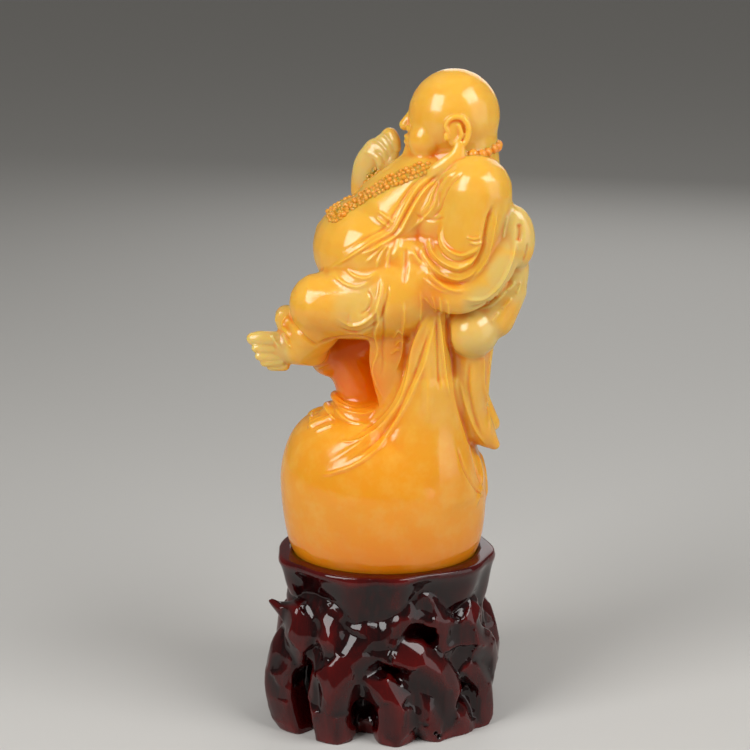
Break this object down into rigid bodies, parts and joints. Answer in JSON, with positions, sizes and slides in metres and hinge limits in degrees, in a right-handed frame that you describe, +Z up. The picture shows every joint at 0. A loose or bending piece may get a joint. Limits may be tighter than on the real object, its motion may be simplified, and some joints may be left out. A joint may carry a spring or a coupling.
{
  "type": "jade laughing buddha carving",
  "caption": "Laughing buddha carved in honey-coloured jade, standing on one leg on a full cloth sack, loose in the cup of a lacquered root-knot stand.",
  "frame": {"origin": "middle of the stand's flat underside, on the surface that it stands on", "axes": "+Z up through the carving, -X where the figure faces, -Y its left side"},
  "size_m": [0.1262, 0.0944, 0.2977],
  "materials": {
    "jade": "polished, translucent honey yellow with paler green-yellow parts",
    "lacquered_wood": "dark red-brown gloss lacquer"
  },
  "bodies": {
    "root": {"carving": "jade", "stand": "lacquered_wood"}
  },
  "joints": []
}
